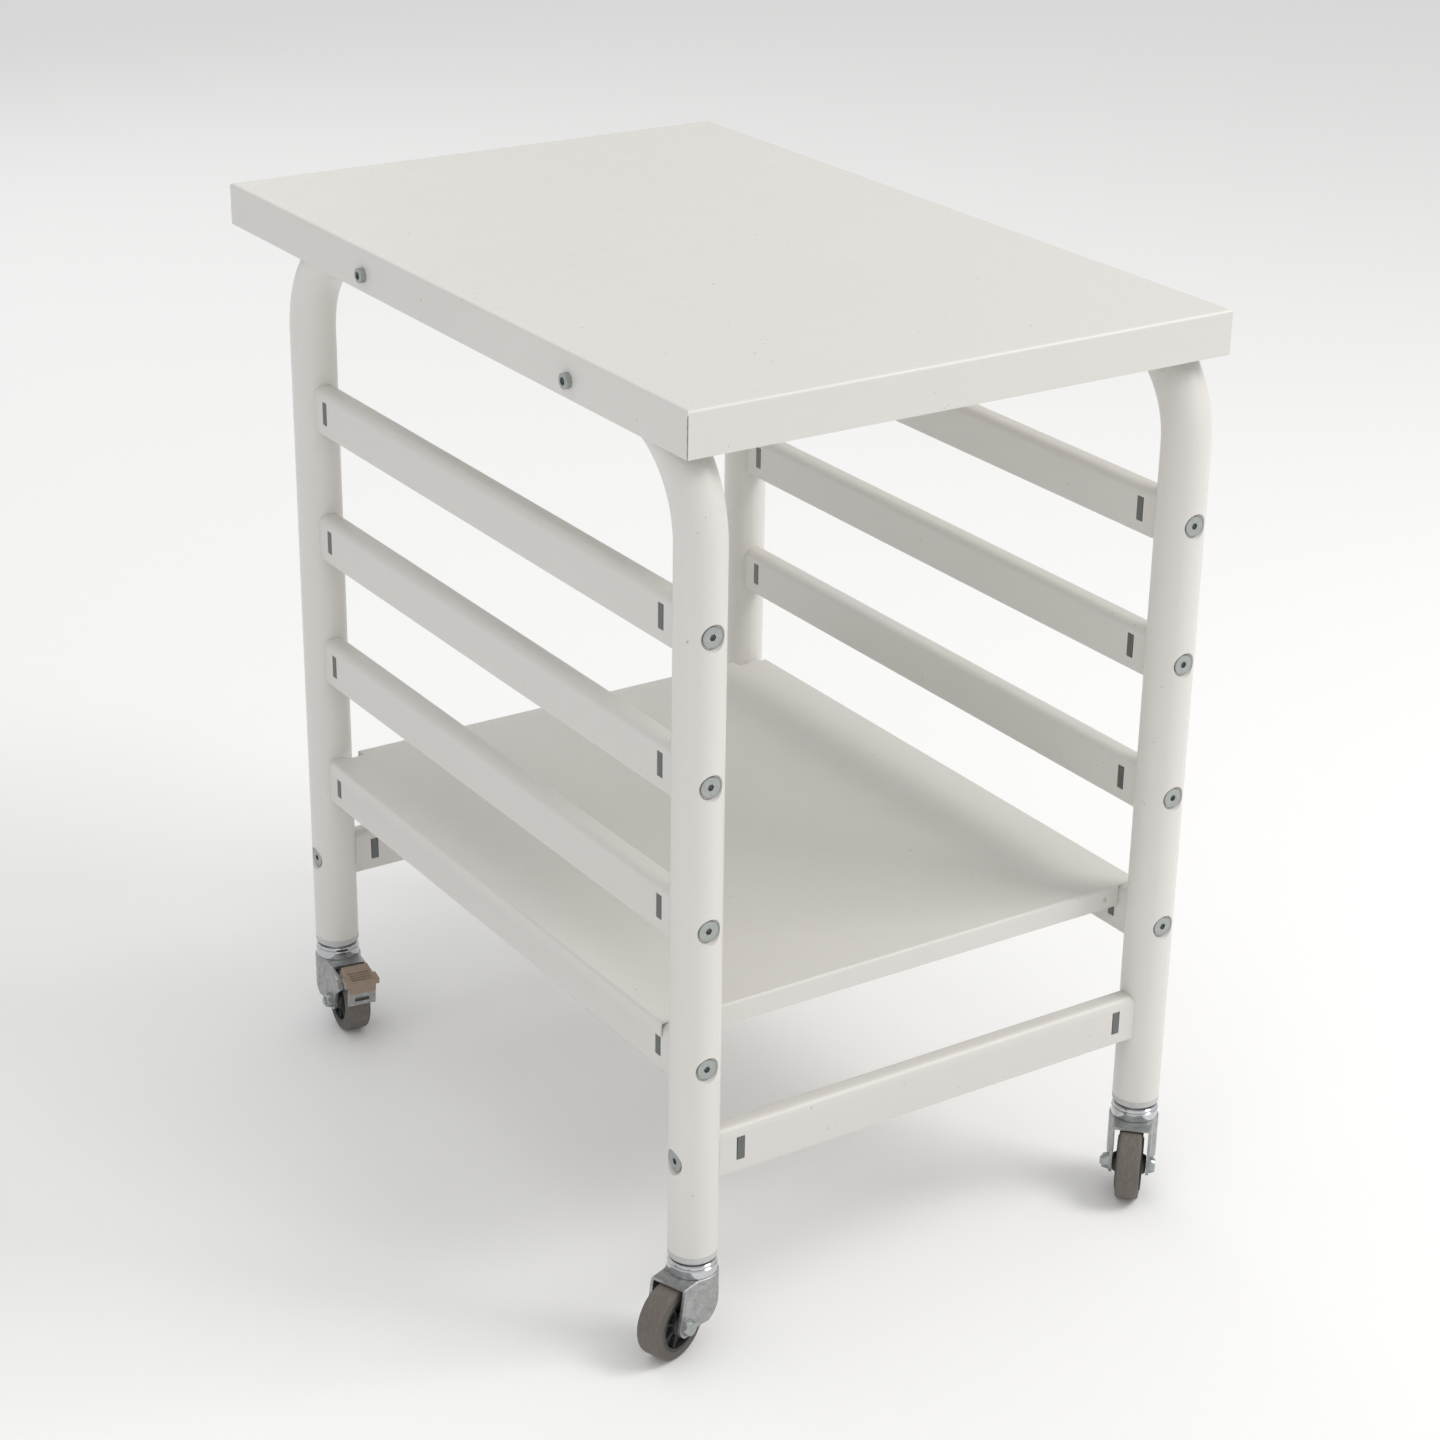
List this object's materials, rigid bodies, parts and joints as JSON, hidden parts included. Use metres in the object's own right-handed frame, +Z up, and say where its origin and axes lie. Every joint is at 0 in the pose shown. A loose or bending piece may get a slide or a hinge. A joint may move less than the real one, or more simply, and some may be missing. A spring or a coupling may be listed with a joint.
{
  "type": "mobile tray rack trolley",
  "caption": "White steel trolley on swivel castors: bent tube side frames, channel side rails, a low sheet shelf and a folded sheet worktop.",
  "frame": {"origin": "on the floor, under the middle of the whole trolley's footprint with the castors as stored", "axes": "+Z up; +X across the trolley to its right side; +Y along it to the back, where the worktop overhangs the legs"},
  "size_m": [0.4574, 0.6262, 0.627],
  "materials": {
    "powder_coat": "satin",
    "socket_plastic": "matte",
    "chrome_plate": "polished",
    "ball_steel": "polished",
    "zinc_plate": "satin",
    "fastener_zinc": "satin",
    "hub_plastic": "matte",
    "tyre_rubber": "matte",
    "pad_plastic": "matte"
  },
  "bodies": {
    "table": {"back_left_stem": "chrome_plate", "back_right_stem": "chrome_plate", "castor_sockets": "socket_plastic", "cross_plate_nuts": "fastener_zinc", "cross_rail_back": "powder_coat", "cross_rail_bolts": "fastener_zinc", "cross_rail_front": "powder_coat", "front_left_stem": "chrome_plate", "front_right_stem": "chrome_plate", "rail_bolts": "fastener_zinc", "rail_left_1": "powder_coat", "rail_left_2": "powder_coat", "rail_left_3": "powder_coat", "rail_left_4": "powder_coat", "rail_plate_nuts": "fastener_zinc", "rail_right_1": "powder_coat", "rail_right_2": "powder_coat", "rail_right_3": "powder_coat", "rail_right_4": "powder_coat", "rivet_nuts": "fastener_zinc", "shelf": "powder_coat", "side_frame_left": "powder_coat", "side_frame_right": "powder_coat", "tabletop": "powder_coat", "tabletop_screws": "fastener_zinc"},
    "castor_front_left": {"front_left_race": "chrome_plate", "front_left_balls": "ball_steel", "front_left_fork": "zinc_plate", "front_left_axle_bolt": "fastener_zinc", "front_left_axle_nut": "fastener_zinc"},
    "wheel_front_left": {"front_left_hub": "hub_plastic", "front_left_tyre": "tyre_rubber"},
    "castor_front_right": {"front_right_race": "chrome_plate", "front_right_balls": "ball_steel", "front_right_fork": "zinc_plate", "front_right_axle_bolt": "fastener_zinc", "front_right_axle_nut": "fastener_zinc"},
    "wheel_front_right": {"front_right_hub": "hub_plastic", "front_right_tyre": "tyre_rubber"},
    "castor_back_left": {"back_left_race": "chrome_plate", "back_left_balls": "ball_steel", "back_left_fork": "zinc_plate", "back_left_axle_bolt": "fastener_zinc", "back_left_axle_nut": "fastener_zinc", "back_left_brake_pin": "zinc_plate"},
    "wheel_back_left": {"back_left_hub": "hub_plastic", "back_left_tyre": "tyre_rubber"},
    "brake_back_left": {"back_left_brake_lever": "zinc_plate", "back_left_brake_pad": "pad_plastic"},
    "castor_back_right": {"back_right_race": "chrome_plate", "back_right_balls": "ball_steel", "back_right_fork": "zinc_plate", "back_right_axle_bolt": "fastener_zinc", "back_right_axle_nut": "fastener_zinc", "back_right_brake_pin": "zinc_plate"},
    "wheel_back_right": {"back_right_hub": "hub_plastic", "back_right_tyre": "tyre_rubber"},
    "brake_back_right": {"back_right_brake_lever": "zinc_plate", "back_right_brake_pad": "pad_plastic"}
  },
  "joints": [
    {"name": "castor_front_left_swivel", "type": "hinge", "parent": "table", "child": "castor_front_left", "pos_m": [-0.1815, -0.27286, 0.062], "axis": [0, 0, 1], "continuous": true},
    {"name": "wheel_front_left_spin", "type": "hinge", "parent": "castor_front_left", "child": "wheel_front_left", "pos_m": [-0.20252, -0.28059, 0.025], "axis": [0.3453, -0.9385, 0], "continuous": true},
    {"name": "castor_front_right_swivel", "type": "hinge", "parent": "table", "child": "castor_front_right", "pos_m": [0.1815, -0.27286, 0.062], "axis": [0, 0, 1], "continuous": true},
    {"name": "wheel_front_right_spin", "type": "hinge", "parent": "castor_front_right", "child": "wheel_front_right", "pos_m": [0.166, -0.28902, 0.025], "axis": [0.7218, -0.6921, 0], "continuous": true},
    {"name": "castor_back_left_swivel", "type": "hinge", "parent": "table", "child": "castor_back_left", "pos_m": [-0.1815, 0.22714, 0.062], "axis": [0, 0, 1], "continuous": true},
    {"name": "wheel_back_left_spin", "type": "hinge", "parent": "castor_back_left", "child": "wheel_back_left", "pos_m": [-0.18446, 0.20494, 0.025], "axis": [0.9912, -0.1323, 0], "continuous": true},
    {"name": "brake_back_left_press", "type": "hinge", "parent": "castor_back_left", "child": "brake_back_left", "pos_m": [-0.18679, 0.18749, 0.0465], "axis": [0.9912, -0.1323, 0], "range_deg": [0, 17]},
    {"name": "castor_back_right_swivel", "type": "hinge", "parent": "table", "child": "castor_back_right", "pos_m": [0.1815, 0.22714, 0.062], "axis": [0, 0, 1], "continuous": true},
    {"name": "wheel_back_right_spin", "type": "hinge", "parent": "castor_back_right", "child": "wheel_back_right", "pos_m": [0.19628, 0.24397, 0.025], "axis": [-0.7513, 0.66, 0], "continuous": true},
    {"name": "brake_back_right_press", "type": "hinge", "parent": "castor_back_right", "child": "brake_back_right", "pos_m": [0.2079, 0.25719, 0.0465], "axis": [-0.7513, 0.66, 0], "range_deg": [0, 17]}
  ]
}
